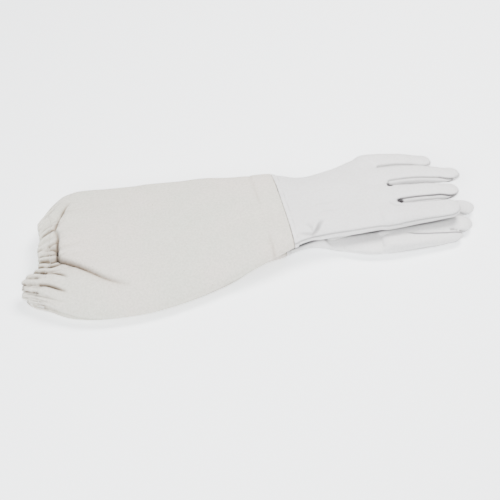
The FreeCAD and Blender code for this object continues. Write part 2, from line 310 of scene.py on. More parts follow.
def chains(edges):
    """Directed edges joined end to end into lists of point numbers."""
    ahead = {}
    for a, b in edges:
        ahead.setdefault(a, []).append(b)
    starts = set(ahead) - {b for _, b in edges}
    lines = []
    while ahead:
        a = starts.pop() if starts else next(iter(ahead))
        line = [a]
        while a in ahead:
            b = ahead[a].pop()
            if not ahead[a]:
                del ahead[a]
            line.append(b)
            a = b
        lines.append(line)
    return lines


def build(side, name, node, slot, skin, body, points, faces, uv=None, painted_shade=None):
    """A piece from millimetres, riding on a body, for one CAD node. uv's third column is painted shade.
    """
    mesh = bpy.data.meshes.new(f"{side}_{name}")
    mesh.from_pydata((np.asarray(points) * MM).tolist(), [], faces)
    mesh.polygons.foreach_set("use_smooth", np.ones(len(mesh.polygons), bool))
    if uv is not None:
        layer = mesh.uv_layers.new(name="cloth")
        corners = np.zeros(len(mesh.loops), np.int32)
        mesh.loops.foreach_get("vertex_index", corners)
        layer.data.foreach_set("uv", uv[corners, :2].astype(np.float32).ravel())
        painted_shade = uv[:, 2]
    if painted_shade is not None:
        # Painted shade: how much darker the materials draw each point, in folds, gaps, pits and seam
        # grooves
        shade = mesh.attributes.new("painted_shade", "FLOAT", "POINT")
        shade.data.foreach_set("value", painted_shade.astype(np.float32))
    mesh.update()
    piece = bpy.data.objects.new(f"{side}_{name}", mesh)
    bpy.context.scene.collection.objects.link(piece)
    mesh.materials.append(skin)
    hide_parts(f"{side}_{node}")
    if isinstance(body, dict):
        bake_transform(piece)
    else:
        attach(piece, body)
    return piece


def ring_faces(rows, count):
    """Quads of a tube of rows with count points each."""
    a = np.arange(rows - 1)[:, None] * count + np.arange(count)
    b = np.arange(rows - 1)[:, None] * count + np.roll(np.arange(count), -1)
    return np.stack([a, a + count, b + count, b], axis=-1).reshape(-1, 4)


def stitches(lines, pitch, length, radius, sink):
    """Small stitches along lines of (points, normals), each dipping in at its two ends."""
    sides = 6
    turn = np.linspace(0, 2 * math.pi, sides + 1)[:-1]
    along = np.array([-0.5, -0.27, 0.27, 0.5]) * length
    fat = np.array([0.35, 1.0, 1.0, 0.35]) * radius
    dip = np.array([1.0, 0.0, 0.0, 1.0]) * sink
    rings = len(along)
    points, faces = [], []
    for line, normal in lines:
        reach = reach_of(line)
        if reach[-1] < pitch:
            continue
        places = np.arange(pitch / 2, reach[-1], pitch)
        middle = resample(places, reach, line)
        way = unit(resample(places + 0.5, reach, line) - resample(places - 0.5, reach, line))
        up = resample(places, reach, normal)
        up = unit(up - way * (up * way).sum(1, keepdims=True))
        for m, w, u, s in zip(middle, way, up, np.cross(way, up)):
            start = len(points) * rings * sides
            ring = [
                m + w * a + u * (f * math.sin(t) - d) + s * f * math.cos(t)
                for a, f, d in zip(along, fat, dip)
                for t in turn
            ]
            points.append(ring)
            faces += (start + ring_faces(rings, sides)[:, [3, 0, 1, 2]]).tolist()
            faces.append([start + k for k in range(sides)])
            faces.append([start + rings * sides - 1 - k for k in range(sides)])
    return np.concatenate(points), faces


def even_line(points, normals, spacing=0.6, rounds=4):
    """A line resampled evenly and smoothed a little."""
    reach = reach_of(points)
    places = np.linspace(0, reach[-1], max(3, int(reach[-1] / spacing)))
    line = resample(places, reach, points)
    for _ in range(rounds):
        line[1:-1] = line[1:-1] * 0.5 + (line[:-2] + line[2:]) * 0.25
    return line, resample(places, reach, normals)


def turned_over(side, faces):
    """Faces as they are for the left hand, and turned over for the right one, which is mirrored."""
    return faces if side == "left" else [face[::-1] for face in faces]


# ---------------------------------------------------------------- materials
def add_node(tree, kind, inputs, **settings):
    """A shader node with its settings, and with inputs set to numbers or colours, or linked."""
    node = tree.nodes.new("ShaderNode" + kind)
    for name, value in settings.items():
        setattr(node, name, value)
    for name, value in inputs.items():
        socket = node.inputs[name]
        if isinstance(value, bpy.types.NodeSocket):
            tree.links.new(value, socket)
        elif socket.type == "RGBA":
            socket.default_value = (*value, 1)
        else:
            socket.default_value = value
    return node


def material(name, colour, roughness, sheen):
    """A material, its shader and its places on the object; colour and bump are linked later."""
    made = bpy.data.materials.new(name)
    made.use_nodes = True
    tree = made.node_tree
    shader = tree.nodes["Principled BSDF"]
    shader.inputs["Base Color"].default_value = (*colour, 1)
    shader.inputs["Roughness"].default_value = roughness
    shader.inputs["Sheen Weight"].default_value = sheen
    shader.inputs["Sheen Roughness"].default_value = 0.5
    shader.inputs["Specular IOR Level"].default_value = 0.35
    return made, tree, shader, add_node(tree, "TexCoord", {}).outputs


def tinted(colour, *by):
    """A colour times one number or three."""
    return tuple(c * k for c, k in zip(colour, by * 3 if len(by) == 1 else by))


def noise(tree, vector, scale, detail=3.0, roughness=0.5, output="Fac"):
    """A noise texture's value or colour."""
    inputs = {"Vector": vector, "Scale": scale, "Detail": detail, "Roughness": roughness}
    return add_node(tree, "TexNoise", inputs).outputs[output]


def ramp(tree, value, low, high, stops):
    """Colours along a value between low and high."""
    node = add_node(tree, "ValToRGB", {"Fac": value})
    for stop, place, colour in zip(node.color_ramp.elements, (low, high), stops):
        stop.position = place
        stop.color = (*colour, 1)
    return node.outputs["Color"]


def multiply(tree, factor, first, second):
    """The first colour times the second, as far as the factor says."""
    inputs = {0: factor, 6: first, 7: second}
    return add_node(tree, "Mix", inputs, data_type="RGBA", blend_type="MULTIPLY").outputs[2]


def maths(tree, operation, first, second=0.0):
    """One sum on numbers or links."""
    return add_node(tree, "Math", {0: first, 1: second}, operation=operation).outputs[0]


def paint_shade(tree, tone, shade):
    """A colour with shade painted in: darker as far as the mesh's painted shade value says, and darker
    again over 1.
    """
    painted_shade = add_node(tree, "Attribute", {}, attribute_name="painted_shade").outputs["Fac"]
    tone = multiply(tree, maths(tree, "MINIMUM", painted_shade, 1.0), tone, shade)
    over = maths(tree, "MAXIMUM", maths(tree, "SUBTRACT", painted_shade, 1.0), 0.0)
    return multiply(tree, over, tone, DEEP_SHADE)


def finish_shader(tree, shader, tone, heights, rough=None):
    """Links a colour, bumps as (height, distance in metres, strength) and perhaps roughness."""
    tree.links.new(tone, shader.inputs["Base Color"])
    inputs = {}
    for height, distance, strength in heights:
        inputs |= {"Height": height, "Distance": distance, "Strength": strength}
        inputs["Normal"] = add_node(tree, "Bump", inputs).outputs["Normal"]
    tree.links.new(inputs["Normal"], shader.inputs["Normal"])
    if rough:
        value, low, high = rough
        spread = add_node(tree, "MapRange", {"Value": value, "To Min": low, "To Max": high})
        tree.links.new(spread.outputs["Result"], shader.inputs["Roughness"])


def canvas_material(name, colour, per_mm):
    """Plain-weave cotton. The cloth's own coordinates are millimetres of thread direction."""
    made, tree, shader, place = material(name, colour, 0.9, 0.25)
    cloth = add_node(tree, "SeparateXYZ", {"Vector": place["UV"]}).outputs
    shift = maths(tree, "MULTIPLY", noise(tree, place["Object"], 90, 2), 1.6)
    turn = 2 * math.pi * per_mm
    warp, weft = [
        maths(tree, "SINE", maths(tree, "ADD", maths(tree, "MULTIPLY", cloth[axis], turn), shift))
        for axis in ("X", "Y")
    ]
    weave = maths(tree, "MULTIPLY", warp, weft)
    slub = noise(tree, place["Object"], 420, 2)
    cloudy = noise(tree, place["Object"], 14, 4)
    fleck = noise(tree, place["Object"], 310, 1)
    mottle = noise(tree, place["Object"], 480, 3)
    green, pink = tinted(colour, 0.945, 0.975, 0.95), tinted(colour, 1.045, 0.995, 1.0)
    tone = ramp(tree, cloudy, 0.36, 0.66, (green, pink))
    patches = ramp(tree, mottle, 0.36, 0.64, ((0.9, 0.9, 0.885), (1.04, 1.04, 1.04)))
    tone = multiply(tree, 1.0, tone, patches)
    threads = maths(tree, "ADD", maths(tree, "MULTIPLY", weave, 0.035), 0.965)
    grey = add_node(tree, "CombineColor", {0: threads, 1: threads, 2: threads})
    tone = multiply(tree, 1.0, tone, grey.outputs[0])
    spots = ramp(tree, fleck, 0.80, 0.84, ((1, 1, 1), (0.45, 0.38, 0.28)))
    # Shade painted into the cloth's colour from the mesh's painted shade values
    tone = paint_shade(tree, multiply(tree, 0.8, tone, spots), (0.36, 0.30, 0.25))
    height = maths(tree, "ADD", maths(tree, "MULTIPLY", weave, 0.5), slub)
    heights = [(height, 0.00022, 0.75), (cloudy, 0.0012, 0.25)]
    finish_shader(tree, shader, tone, heights, (slub, 0.82, 0.97))
    return made


def leather_material(name, colour, dirt):
    """Soft white grain leather with faint creases, in places as dark as dirt says."""
    made, tree, shader, place = material(name, colour, 0.55, 0.12)
    swirl = noise(tree, place["Object"], 260, 2.0, output="Color")
    scaled = add_node(tree, "VectorMath", {0: swirl, "Scale": 0.0012}, operation="SCALE")
    inputs = {0: place["Object"], 1: scaled.outputs[0]}
    bent = add_node(tree, "VectorMath", inputs, operation="ADD").outputs[0]
    inputs = {"Vector": bent, "Scale": 900}
    cells = add_node(tree, "TexVoronoi", inputs, feature="DISTANCE_TO_EDGE").outputs["Distance"]
    grain = maths(tree, "MINIMUM", maths(tree, "MULTIPLY", cells, 4.0), 1.0)
    cloudy = noise(tree, place["Object"], 22, 4)
    mottle = noise(tree, place["Object"], 340, 3)
    inputs = {"Vector": place["Object"], "Scale": (0.45, 1.5, 1.0), "Rotation": (0, 0, 0.25)}
    stretch = add_node(tree, "Mapping", inputs).outputs["Vector"]
    creases = noise(tree, stretch, 85, 5, 0.6)
    tone = ramp(tree, cloudy, 0.3, 0.75, (tinted(colour, dirt), tinted(colour, 1.03)))
    patches = ramp(tree, mottle, 0.36, 0.64, ((0.955, 0.95, 0.95), (1.02, 1.02, 1.02)))
    tone = multiply(tree, 1.0, tone, patches)
    pores = ramp(tree, grain, 0.0, 0.6, ((0.93, 0.92, 0.91), (1, 1, 1)))
    # Shade painted into the leather's colour from the mesh's painted shade values
    tone = paint_shade(tree, multiply(tree, 0.7, tone, pores), (0.33, 0.32, 0.33))
    heights = [(creases, 0.0010, 0.35), (grain, 0.00010, 0.55)]
    finish_shader(tree, shader, tone, heights, (cloudy, 0.46, 0.66))
    return made


def rib_material(name, colour):
    """Knitted elastic with fine ribs along its length."""
    made, tree, shader, place = material(name, colour, 0.8, 0.2)
    inputs = {"Vector": place["Object"], "Scale": 260, "Distortion": 1.2}
    ribs = add_node(tree, "TexWave", inputs).outputs["Fac"]
    fine = noise(tree, place["Object"], 700, 2)
    tone = ramp(tree, ribs, 0.1, 0.9, (tinted(colour, 0.8), colour))
    finish_shader(tree, shader, tone, [(ribs, 0.0004, 0.8), (fine, 0.0001, 0.4)])
    return made


def thread_material(name, colour):
    """Twisted cotton thread."""
    made, tree, shader, place = material(name, colour, 0.75, 0.15)
    twist = add_node(tree, "TexWave", {"Vector": place["Object"], "Scale": 900}).outputs["Fac"]
    tone = ramp(tree, twist, 0.2, 0.8, (tinted(colour, 0.86), colour))
    finish_shader(tree, shader, tone, [(twist, 0.0001, 0.6)])
    return made


CREAM = (0.745, 0.718, 0.645)
WHITE = (0.77, 0.76, 0.755)
# The colour that the deepest painted shade goes towards
DEEP_SHADE = (0.12, 0.11, 0.12)
canvas = canvas_material("canvas_weave", CREAM, 1.15)
leather = leather_material("glove_leather", WHITE, 0.965)
suede = leather_material("fourchette_leather", tinted(WHITE, 0.97), 0.95)
elastic = rib_material("knitted_elastic", (0.8, 0.8, 0.78))
thread = thread_material("cotton_thread", (0.66, 0.65, 0.6))


# ---------------------------------------------------------------- sleeves
# x, centre y, half width, crown and edge thickness of each sleeve
RIGHT_SLEEVE = [
    (-256, -11, 31, 14.5, 8.6),
    (-235, -9.5, 44.5, 16.5, 10),
    (-216, -7, 60, 17.5, 9.5),
    (-185, -3, 74, 18.5, 7.5),
    (-150, 0, 79, 19, 7),
    (-95, 1, 77, 19, 7),
    (-40, 4, 66, 19, 9.5),
    (5, 9, 52, 19, 16),
    (32, 8, 47, 19, 19),
    (39, 8, 45.5, 19, 19),
]
LEFT_SLEEVE = [
    (-259, -7, 33, 15.5, 9),
    (-235, -6, 51, 17, 12.5),
    (-212, -4.5, 67.5, 17.5, 9),
    (-182, -1, 82, 18.5, 6.5),
    (-150, 0, 86, 19, 6),
    (-100, 1.5, 84, 19, 6),
    (-40, 6, 74, 19, 9),
    (8, 9.2, 64, 19, 14),
    (32, 12, 58.6, 19, 16),
    (39, 12.75, 56.75, 19, 16),
]
# The gap between the gloves, how much wider the far sides are near the cuffs, and the share of
# the edges' drop that the far sides are spared
GAP = 0.8
FAR_REACH = 5.0
FAR_LIFT = 0.9
# Widths of the hem and the facing, the hem's bend and half its depth, the cloth's lap under the
# leather, and how far the long seam's stitches are from its fold
HEM = 14.0
FACING = 25.0
HEM_BEND = 2.2
HEM_DEPTH = 1.7
LAP = 1.2
LONG_SEAM = 2.0
# Pitch, length, radius and sink of each kind of stitch
HEM_STITCH = (2.6, 1.9, 0.3, 0.35)
WRIST_STITCH = (2.8, 2.0, 0.28, 0.3)
LONG_STITCH = (2.8, 2.0, 0.3, 0.3)
HAND_STITCH = (2.6, 1.8, 0.2, 0.2)
THUMB_STITCH = (2.6, 1.8, 0.22, 0.2)


def station(table, column, x):
    """One column of a sleeve's table at x."""
    return smooth_line([(row[0], row[column]) for row in table], x)


def middle_heights(side, x):
    """Heights of a sleeve's mid-surface at its centre and at its edges."""
    crown, edge = station(RIGHT_SLEEVE, 3, x), station(RIGHT_SLEEVE, 4, x)
    if side == "right":
        return crown / 2, edge / 2
    own_crown, own_edge = station(LEFT_SLEEVE, 3, x), station(LEFT_SLEEVE, 4, x)
    return crown + GAP + own_crown / 2, edge + GAP + own_edge / 2


def roundness(x, far):
    """The two powers of a sleeve's section: a flat lens at the cuff, fuller at the wrist."""
    full = np.maximum(step_up(-70, 39, x), 0.85 * far * step_up(-262, -215, x))
    return 2.2 + 0.4 * full, 1.6 + 0.6 * full


# How much further out the left sleeve's far side stands at each x
FAR_OUTLINE = [(-240, 0), (-228, 4), (-220, 9.5), (-208, 13), (-197, 12), (-189, 9), (-177, 5.5)]
FAR_OUTLINE += [(-166, 2), (-150, -1.5), (-130, -4), (-98, -4.5), (-63, -3), (-30, 0.5), (0, 0)]


def tube(side, x, turn):
    """Points of a sleeve's plain outer surface, and how far up (1) or down (-1) each lies.

    The near side thins out and hangs down; the far side stays full, folded over on itself.
    """
    table = SHAPES[side]
    cos, sin = np.cos(turn), np.sin(turn)
    far = step_up(-0.1, 0.5, cos)
    across, upwards = roundness(x, far)
    s = np.sign(cos) * np.abs(cos) ** (2 / across)
    v = np.sign(sin) * np.abs(sin) ** (2 / upwards)
    centre_height, edge_height = middle_heights(side, x)
    wider = FAR_REACH * far * step_up(-262, -215, x) * (1 - step_up(-110, 0, x))
    if side == "left":
        wider = wider + smooth_line(FAR_OUTLINE, x) * far
    y = station(table, 1, x) + (station(table, 2, x) + wider) * s
    drop = (centre_height - edge_height) * (1 - FAR_LIFT * far)
    z = centre_height - drop * np.abs(s) ** 2.2 + station(table, 3, x) / 2 * v
    return np.stack([x, y, z], axis=-1), v


def even_turns(side, x, count):
    """Angles that share out a section's girth evenly, and the girth."""
    fine = np.linspace(0, 2 * math.pi, 4001)
    reach = reach_of(tube(side, np.full(fine.shape, float(x)), fine)[0])
    return np.interp(np.linspace(0, reach[-1], count + 1)[:-1], reach, fine), reach[-1]


def crease(x, y, line, depth, width, shoulder, cover):
    """A fold line: a narrow valley with a swollen side (left of the line) over it.

    depth is a list of (share along the line, depth) pairs. Gives the move and the shade.
    """
    distance, side, share = along_line(x, y, line)
    deep = smooth_line(depth, share)
    valley = -deep * bump(distance, 0, width)
    swell = np.where(side > 0, distance / 6 * np.exp(1 - distance / 6), 0)
    sunk = np.where(side <= 0, np.exp(-distance / cover), 0)
    move = valley + shoulder * deep * swell - 0.45 * deep * sunk * step_up(0, 4, distance)
    shade = 1.1 * bump(distance, 0, width) + 0.55 * sunk * np.exp(-distance / (0.3 * cover))
    return move, np.clip(deep / 5.5, 0, 1) * (shade + 0.1 * np.exp(-distance / 4))


# The crumple across the top of the left sleeve, and its depth along it
SHOULDER = [(-190, 74), (-199, 63), (-204, 52), (-209, 42), (-212, 32), (-210, 22), (-213, 4.5)]
SHOULDER += [(-214, -7), (-210, -13), (-201, -20), (-182, -35), (-169, -45), (-154, -53), (-142, -57)]
SHOULDER_DEPTH = [(0, 0), (0.06, 3.4), (0.16, 6.0), (0.22, 4.0), (0.28, 2.6), (0.38, 5.0), (0.48, 7.0)]
SHOULDER_DEPTH += [(0.6, 5.6), (0.75, 4.2), (0.88, 2.6), (1, 0)]
# Folds there: line, depth along it, width, how swollen its left side is, how far its right sinks
FOLDS = [
    (SHOULDER, SHOULDER_DEPTH, 1.8, 0.45, 16),
    ([(-206, -36), (-213, -30), (-222, -25.5), (-232, -24)], [(0, 0), (0.4, 4.5), (1, 3.6)], 1.5, 0.3, 6),
    ([(-209, -53), (-216, -48), (-229, -40), (-237, -37)], [(0, 0), (0.4, 4.5), (1, 4.5)], 1.6, 0.35, 6),
    ([(-226, 6), (-219, 8), (-214, 5)], [(0, 1.8), (0.6, 4.0), (1, 2.4)], 1.4, 0.25, 6),
    ([(-228, -8), (-221, -9), (-215, -8)], [(0, 2.2), (0.6, 4.4), (1, 2.8)], 1.4, 0.25, 6),
]
# The cuff's rim, as x at each y
RIM = [(-43, -252), (-38.5, -258.5), (-33.5, -254), (-27, -257), (-22, -250), (-17, -240)]
RIM += [(-9, -236.5), (9, -235), (27, -230.5), (40, -231), (54, -232)]

# For each sleeve: how far its rim is set back, the lines around it, the gaps between rows near
# the rim and far from it, and its numbers of pleats and wider folds
SLEEVES = {
    "left": {"back": 0, "count": 430, "near": 0.9, "far": 2.4, "pleats": 30, "folds": 11, "seed": 5},
    "right": {"back": 4, "count": 320, "near": 1.2, "far": 3.2, "pleats": 27, "folds": 9, "seed": 8},
}
SHAPES = {"left": LEFT_SLEEVE, "right": RIGHT_SLEEVE}
WIDEST = -150
FINE_ROWS = 64


def rim_of(side, turn):
    """x of the cuff's rim on each line of the tube."""
    scan = np.arange(-263.0, -222.0, 0.5)
    found = np.full(turn.shape, scan[-1])
    for x in scan[::-1]:
        y = tube(side, np.full(turn.shape, x), turn)[0][:, 1]
        found = np.where(x >= smooth_line(RIM, y) + SLEEVES[side]["back"], x, found)
    kernel = np.array([1, 2, 3, 2, 1]) / 9
    return np.convolve(np.concatenate([found[-2:], found, found[:2]]), kernel, "valid")


def pleats(turns, count, seed, lengths):
    """For each line of the tube: its place in a pleat (0 valley, 1 ridge), height and length."""
    rng = np.random.default_rng(seed)
    around = np.arange(turns) / turns
    drift = sum(
        rng.uniform(0.1, 0.35) * np.sin(2 * math.pi * (k * around + rng.uniform())) for k in (2, 3, 5)
    )
    at = (around * count + drift) % count
    number = np.floor(at).astype(int) % count
    share = at - np.floor(at)
    height = rng.uniform(0.4, 1.25, count)[number]
    length = rng.uniform(*lengths, count)[number]
    lean = rng.uniform(0.85, 1.25, count)[number]
    return np.sin(math.pi * share**lean) ** 0.7, height, length


# How much shade is painted on the near edge's underside at each x, where the deep gap between the two
# gloves lies
NEAR_GAP = [(-70, 0), (-30, 0.5), (10, 0.8), (45, 0.9), (66, 0.6), (80, 0.3), (120, 0.3), (230, 0.2)]


def shadowed(points, normal):
    """Shade on the underside of the left glove's near edge."""
    under = step_up(0.12, 0.45, -normal[..., 2]) * step_up(0.25, 0.5, -normal[..., 1])
    near = step_up(10, 24, -points[..., 1])
    return smooth_line(NEAR_GAP, points[..., 0]) * under * near


# The left glove's near edge in plan, and how dark the shadow painted on the right glove under it is at
# each x
EDGE_ABOVE = [(-60, -68), (-20, -57), (20, -47), (39, -43), (66, -37.5), (110, -38.5), (160, -39.5)]
EDGE_ABOVE += [(190, -40), (240, -39)]
GAP_SHADOW = [(-60, 0), (-20, 1.4), (60, 1.8), (76, 1.35), (112, 1.35), (128, 1.6), (155, 1.6), (168, 1.2)]
GAP_SHADOW += [(215, 1.0), (232, 0)]
# Where two fingers of the lower glove lie against each other in front of the upper one, with shade
# painted along it
LOWER_SLOT = [(167, -41.5), (182, -46), (205, -48.2), (222, -49.7), (232, -50)]


def gap_shadow(points, height):
    """Shade on the right glove under the left glove's near edge, further under it lower down."""
    under = 4.6 + 0.84 * (20 - height)
    across = points[..., 1] - smooth_line(EDGE_ABOVE, points[..., 0])
    return smooth_line(GAP_SHADOW, points[..., 0]) * step_up(9, 12, height) * bump(across, under, 2.0)


def sleeve_grid(side, end):
    """A sleeve's plain surface from its rim to x = end, as rows around it."""
    make = SLEEVES[side]
    turn, _ = even_turns(side, WIDEST, make["count"])
    rim = rim_of(side, turn)
    near = np.arange(0, FINE_ROWS, make["near"])
    near[np.abs(near - HEM).argmin()] = HEM
    rows = int((end - rim.mean() - FINE_ROWS) / make["far"])
    share = np.linspace(0, 1, rows + 1)[1:, None]
    start = rim + FINE_ROWS
    x = np.concatenate([rim + near[:, None], start + (end - start) * share])
    points, v = tube(side, x, np.broadcast_to(turn, x.shape))
    around = np.roll(points, -1, 1) - np.roll(points, 1, 1)
    normal = unit(np.cross(np.gradient(points, axis=0), around))
    outward = np.sign((normal * (points - points.mean(axis=1, keepdims=True))).sum())
    return points, v, normal * outward, x - rim


def sleeve_surface(side, end):
    """The sleeve's whole outer surface with its pleats, folds, seams and shade."""
    make = SLEEVES[side]
    points, v, normal, apart = sleeve_grid(side, end)
    x, y = points[..., 0], points[..., 1]

    def rough(length, number, count=9):
        """Noise on the sleeve, from its own numbered seed."""
        return waves(points.reshape(-1, 3), length, make["seed"] + number, count).reshape(v.shape)

    ridge, height, length = pleats(make["count"], make["pleats"], make["seed"], (9, 26))
    fold, fold_height, fold_length = pleats(make["count"], make["folds"], make["seed"] + 1, (30, 62))
    seen = step_up(-0.1, 0.35, v if side == "left" else -v)
    free = 0.5 + 0.5 * seen
    band = 1 - step_up(HEM - 2, HEM + length, apart)
    wide = step_up(0, HEM, apart) * (1 - step_up(HEM, HEM + fold_length, apart))
    soft, fine = rough(60, 2), rough(14, 3, 14)
    notched = step_up(-0.25, 0.7, rough(9, 4, 14))
    move = -4.4 * free * height * (1 - ridge) * band
    move -= 4.5 * free * fold_height * (1 - fold) * wide
    move -= 0.35 * free * bump(apart, HEM, 1.2)
    move += 0.9 * free * bump(apart, HEM / 2, 5) * ridge
    calm = 1 - step_up(end - 60, end - 25, x)
    move += soft * (0.15 + 0.55 * seen * calm) + fine * (0.05 + 0.1 * seen)
    move -= 1.1 * free * notched * (1 - ridge) * band
    # Painted shade in the valleys of the gathers and of the wider folds
    painted_shade = 1.5 * free * (1 - ridge**2) ** 1.4 * height * band * (0.2 + 0.8 * notched)
    painted_shade += 0.35 * free * (1 - fold) ** 3 * wide
    if side == "left":
        # Each fold paints shade along its valley and over its sunk side as well as moving the cloth
        top = step_up(0.05, 0.4, v)
        for line in FOLDS:
            pushed, shade = crease(x, y, *line)
            move += top * pushed
            painted_shade += top * shade
    edge = end - FACING
    patchy = 0.55 + 0.45 * np.tanh(3 * soft)
    move += 0.35 * step_up(edge - 0.8, edge + 0.8, x)
    move -= 1.3 * free * bump(x, edge - 1.2, 1.6) * patchy
    # Painted shade along the groove at the facing's edge
    painted_shade += 0.42 * bump(x, edge - 1.2, 1.4) * patchy
    # Painted shade in dashes along the groove at the wrist seam
    dashes = step_up(-0.3, 0.3, rough(5, 5, 10))
    painted_shade += (0.8 + 1.0 * dashes) * step_up(end - 2.4, end - 1.3, x)
    move -= 1.5 * step_up(end - 2.6, end - 0.8, x)
    move -= 0.25 * bump(x, end - 5, 0.9)
    seam = long_seam_places(side, points, v)
    move += 0.5 * bump(seam, 0, 1.6) - 0.8 * bump(seam, LONG_SEAM, 0.8) * step_up(-200, -170, x)
    points = points + normal * move[..., None]
    if side == "right":
        points[..., 2] = np.maximum(points[..., 2], 0.1 + 0.05 * fine)
    stations = np.linspace(WIDEST, end, 8)
    girths = [even_turns(side, station_x, 40)[1] for station_x in stations]
    own = np.interp(x.mean(axis=1), stations, girths)[:, None]
    # Painted shade where the two gloves meet: on the left glove's near underside, and on the right glove
    # under the left one's edge
    painted_shade += shadowed(points, normal) if side == "left" else gap_shadow(points, points[..., 2])
    rounds = np.arange(make["count"]) / make["count"]
    uv = np.stack([rounds * own, apart, np.clip(painted_shade, 0, 2)], axis=-1)
    return {"points": points, "normal": normal, "apart": apart, "at": apart.mean(1), "v": v, "uv": uv}


def long_seam_places(side, points, v):
    """Sideways distance from the sleeve's long seam, large on the other face."""
    other = v > 0 if side == "left" else v < 0
    return points[..., 1] - (SHAPES[side][-1][1] + 20) + np.where(other, 1000, 0)


def facing_out(points, faces):
    """The faces, turned over if they face the mesh's own middle line."""
    normal = normals_of(points, faces)
    away = points - np.array([0, *points.mean(axis=0)[1:]])
    away[:, 0] = 0
    return faces if (normal * away).sum() > 0 else faces[:, ::-1]


def strip(surface, low, high, depth, thickness):
    """A layer of a sleeve between two distances from the rim, at a depth below its outside."""
    rows = np.nonzero((surface["at"] >= low) & (surface["at"] <= high))[0]
    grid = surface["points"][rows] - surface["normal"][rows] * depth
    points = grid.reshape(-1, 3)
    faces = facing_out(points, ring_faces(len(rows), grid.shape[1]))
    uv = surface["uv"][rows].reshape(-1, 3)
    return *shell(points, faces, thickness), np.concatenate([uv, uv])


def hem(surface):
    """The hem: cloth from its stitching to the rim, turned in there and back again."""
    rows = np.nonzero(surface["at"] <= HEM + 0.01)[0]
    points, normal, apart, uv = (surface[key][rows] for key in ("points", "normal", "apart", "uv"))
    turn = np.sqrt(np.clip(1 - (apart / HEM_BEND - 1) ** 2, 0, 1))
    turn = np.where(apart < HEM_BEND, turn, 1)
    outer = points - normal * (HEM_DEPTH * (1 - turn))[..., None]
    inner = points - normal * (HEM_DEPTH + HEM_DEPTH * turn)[..., None]
    grid = np.concatenate([inner[:0:-1], outer])
    flat = grid.reshape(-1, 3)
    faces = ring_faces(len(grid), grid.shape[1])
    outside = faces[(len(rows) - 1) * grid.shape[1] :]
    if (facing_out(flat, outside) != outside).any():
        faces = faces[:, ::-1]
    uv = np.concatenate([uv[:0:-1] * (1, -1, 1), uv]).reshape(-1, 3)
    return *shell(flat, faces, CANVAS), np.concatenate([uv, uv])


def around_line(surface, at):
    """The row of the sleeve at a distance from its rim, as one closed line."""
    row = np.abs(surface["at"] - at).argmin()
    return [np.concatenate([surface[key][row], surface[key][row][:1]]) for key in ("points", "normal")]


def sew(side, name, node, lines, stitch, body, in_hand=False):
    """A row of stitches as one piece; lines in a hand's own heights are moved to the frame."""
    points, faces = stitches(lines, *stitch)
    if in_hand:
        points, faces = to_frame(side, points), turned_over(side, faces)
    build(side, name, node, "thread", thread, body, points, faces)


def make_sleeve(side):
    """Cloth, hem, elastic, facing and threads of one sleeve."""
    body = "left_sleeve" if side == "left" else "right_glove"
    wrist = WRIST if side == "left" else body
    surface = sleeve_surface(side, SEAMS[side] + LAP)
    at = surface["at"]
    end = at[-1]
    facing_at = end - FACING - LAP
    whole = strip(surface, HEM, end, 0, CANVAS)
    cloth = build(side, "sleeve_cloth", "canvas_sleeve", "canvas", canvas, wrist, *whole)
    cuff = build(side, "gathered_hem", "cuff_hem", "canvas", canvas, body, *hem(surface))
    tape = strip(surface, HEM_BEND + 0.4, HEM - HEM_BEND, 1.35, 0.7)
    build(side, "elastic_band", "cuff_elastic", "elastic", elastic, body, *tape[:2])
    inside = strip(surface, facing_at, end, CANVAS + 0.1, 0.6)
    build(side, "facing_cloth", "wrist_facing", "canvas", canvas, wrist, *inside)
    sew(side, "hem_stitches", "hem_thread", [around_line(surface, HEM - 1)], HEM_STITCH, body)
    line = around_line(surface, end - 5.2)
    sew(side, "wrist_stitches", "wrist_seam_thread", [line], WRIST_STITCH, wrist)
    rows = np.nonzero((at > HEM + 30) & (at < facing_at))[0]
    seam = np.abs(long_seam_places(side, surface["points"], surface["v"]) - LONG_SEAM)
    column = seam[rows].argmin(axis=1)
    line = even_line(surface["points"][rows, column], surface["normal"][rows, column], 1.0, 30)
    sew(side, "long_seam_stitches", "sleeve_seam_thread", [line], LONG_STITCH, wrist)
    return cloth, cuff


# ---------------------------------------------------------------- hands
# Heights in a hand run from 0 at the outside of its palm to 19 at its back
HAND = 19.0
# The height share of the seams, and how many points a line has to pass to be sewn
SEAM_SHARE = 0.26
SHORTEST = 6
# Each finger: root y, half width, tip centre x and y, tip half width, tip length, sideways
# bow, drop of its middle height
LEFT_FINGERS = [
    (60, 12.8, 212.0, 52.5, 9.5, 14.5, 2.5, 1.2),
    (34, 15.0, 233, 25.5, 10.5, 19.0, 4.5, 0.0),
    (4, 14.0, 226, 1, 11.2, 16.5, 1.5, 0.3),
    (-25, 15.2, 219, -26.0, 12.4, 16.0, 0.4, 0.0),
]
RIGHT_FINGERS = [
    (31.5, 12, 222, 12, 9.5, 14.0, 0.0, 0.0),
    (5, 13.8, 243.5, -11.0, 10.5, 15.3, 0.0, 0.0),
    (-24.5, 15.4, 232, -34.5, 12.0, 16.2, -1.0, 0.0),
    (-48, 10.7, 213, -50.5, 8.6, 18.5, -1.0, 0.6),
]
